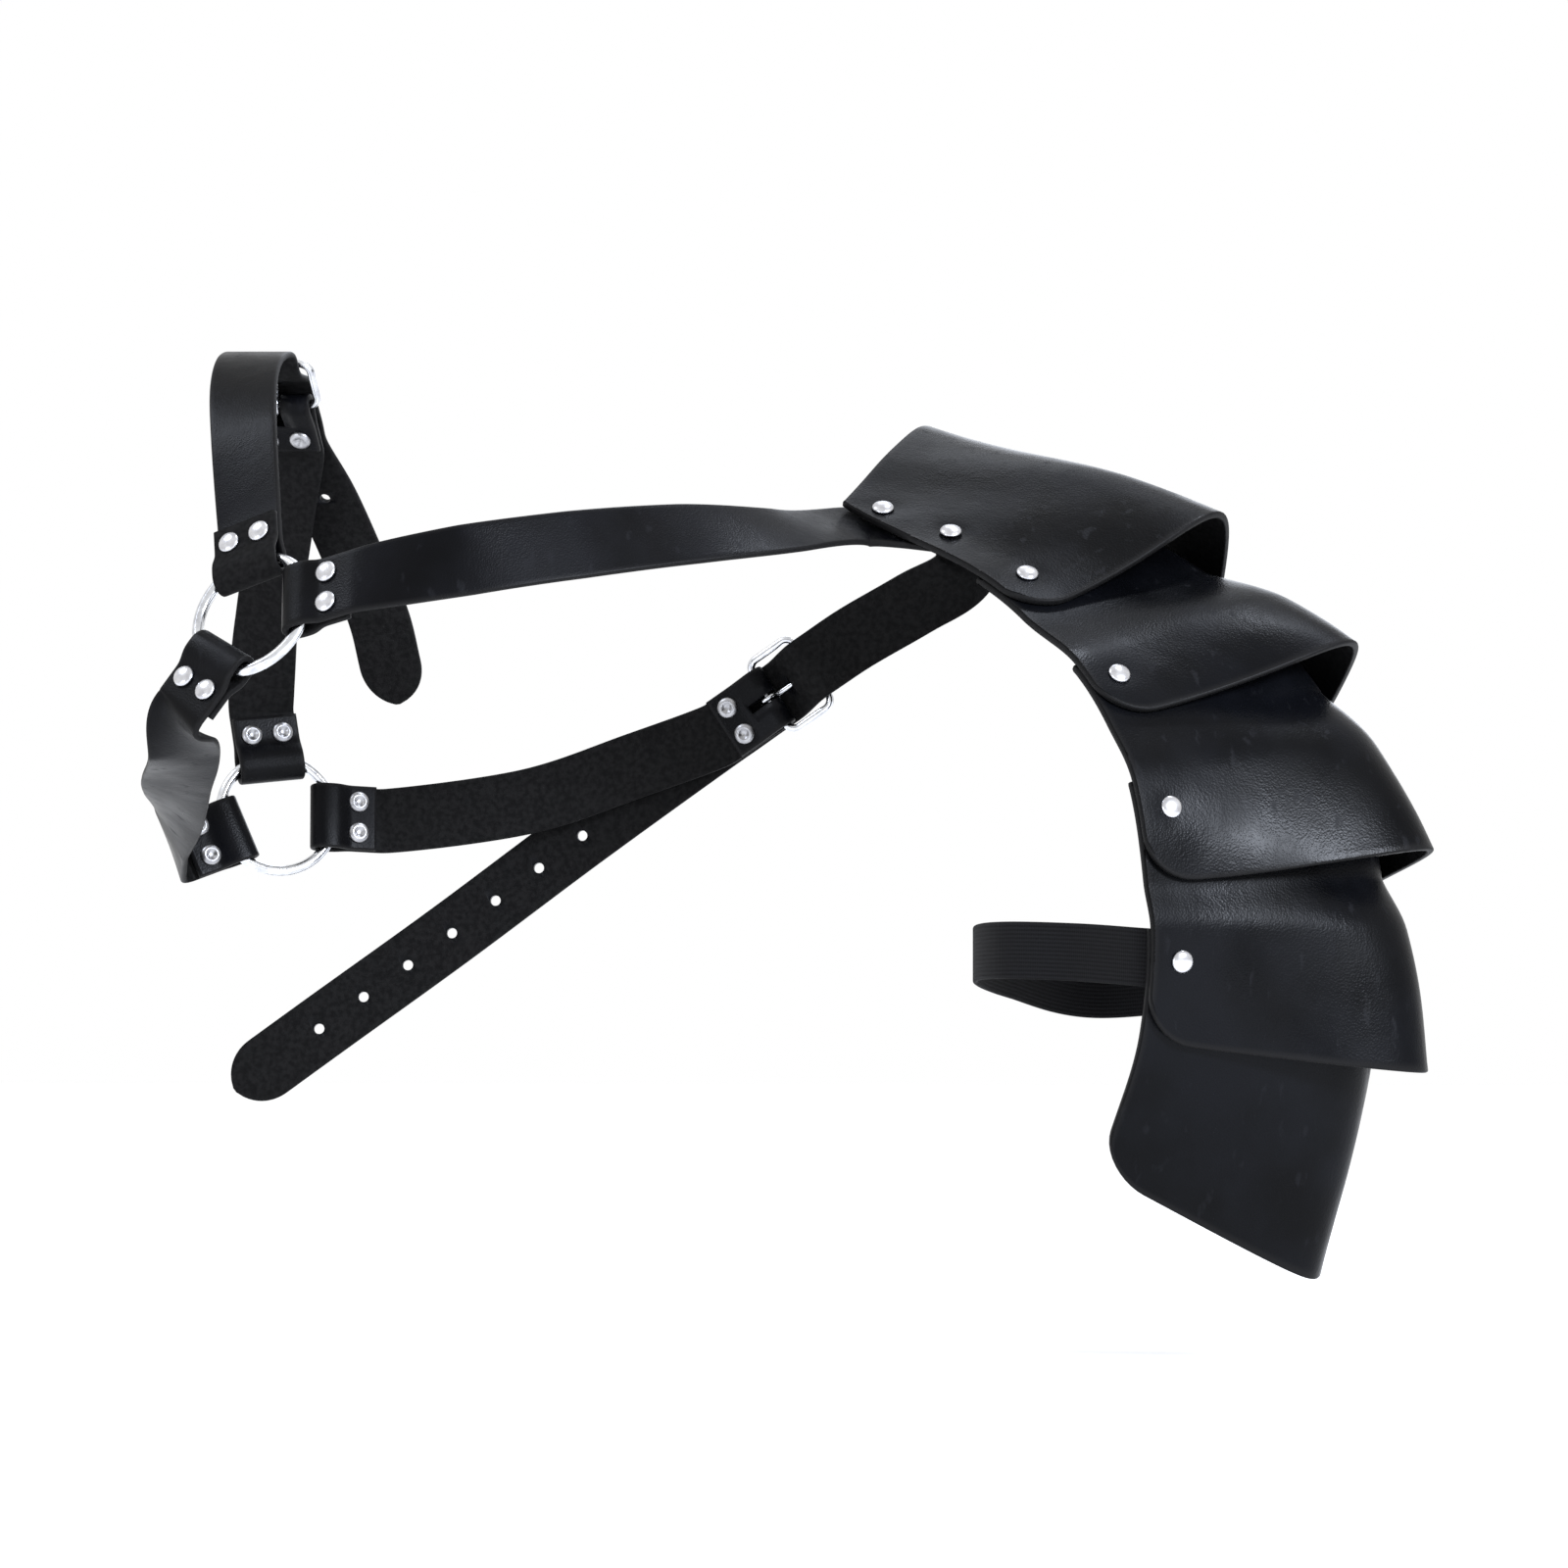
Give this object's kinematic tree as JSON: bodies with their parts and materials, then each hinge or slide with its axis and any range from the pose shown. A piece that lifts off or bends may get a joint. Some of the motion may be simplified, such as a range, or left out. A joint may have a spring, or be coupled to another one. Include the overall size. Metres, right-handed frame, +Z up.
{
  "type": "pauldron",
  "caption": "Black leather pauldron of overlapping riveted lames, held on the left shoulder by a ring and buckle harness round the chest and back and by an elastic arm band.",
  "frame": {"origin": "the seat under the ridge of the top lame, where it rests on the wearer's left shoulder", "axes": "+X outward from the wearer's left shoulder, +Y towards the wearer's back, +Z up"},
  "size_m": [0.4805, 0.2472, 0.3346],
  "materials": {
    "lame_leather": "semi-gloss",
    "strap_leather": "satin",
    "elastic": "matt",
    "bright_metal": "polished",
    "rivet_metal": "satin"
  },
  "bodies": {
    "root": {"lame_1": "lame_leather", "lame_2": "lame_leather", "lame_3": "lame_leather", "lame_4": "lame_leather", "lame_5": "lame_leather", "shoulder_strap": "strap_leather", "rear_strap": "strap_leather", "side_strap": "strap_leather", "chest_strap": "strap_leather", "back_strap": "strap_leather", "back_billet": "strap_leather", "arm_band": "elastic", "front_ring": "bright_metal", "back_ring": "bright_metal", "shoulder_buckle_frame": "bright_metal", "shoulder_buckle_prong": "bright_metal", "back_buckle_frame": "bright_metal", "back_buckle_prong": "bright_metal", "strap_rivet_front_1": "rivet_metal", "strap_rivet_front_2": "rivet_metal", "strap_rivet_back_1": "rivet_metal", "strap_rivet_back_2": "rivet_metal", "joint_rivet_front_1": "rivet_metal", "joint_rivet_front_2": "rivet_metal", "joint_rivet_front_3": "rivet_metal", "joint_rivet_front_4": "rivet_metal", "joint_rivet_back_1": "rivet_metal", "joint_rivet_back_2": "rivet_metal", "joint_rivet_back_3": "rivet_metal", "joint_rivet_back_4": "rivet_metal", "shoulder_ring_rivet_1": "rivet_metal", "shoulder_ring_rivet_2": "rivet_metal", "rear_ring_rivet_1": "rivet_metal", "rear_ring_rivet_2": "rivet_metal", "shoulder_buckle_rivet_1": "rivet_metal", "shoulder_buckle_rivet_2": "rivet_metal", "side_front_rivet_1": "rivet_metal", "side_front_rivet_2": "rivet_metal", "side_back_rivet_1": "rivet_metal", "side_back_rivet_2": "rivet_metal", "chest_ring_rivet_1": "rivet_metal", "chest_ring_rivet_2": "rivet_metal", "back_ring_rivet_1": "rivet_metal", "back_ring_rivet_2": "rivet_metal", "back_buckle_rivet_1": "rivet_metal", "back_buckle_rivet_2": "rivet_metal"}
  },
  "joints": []
}
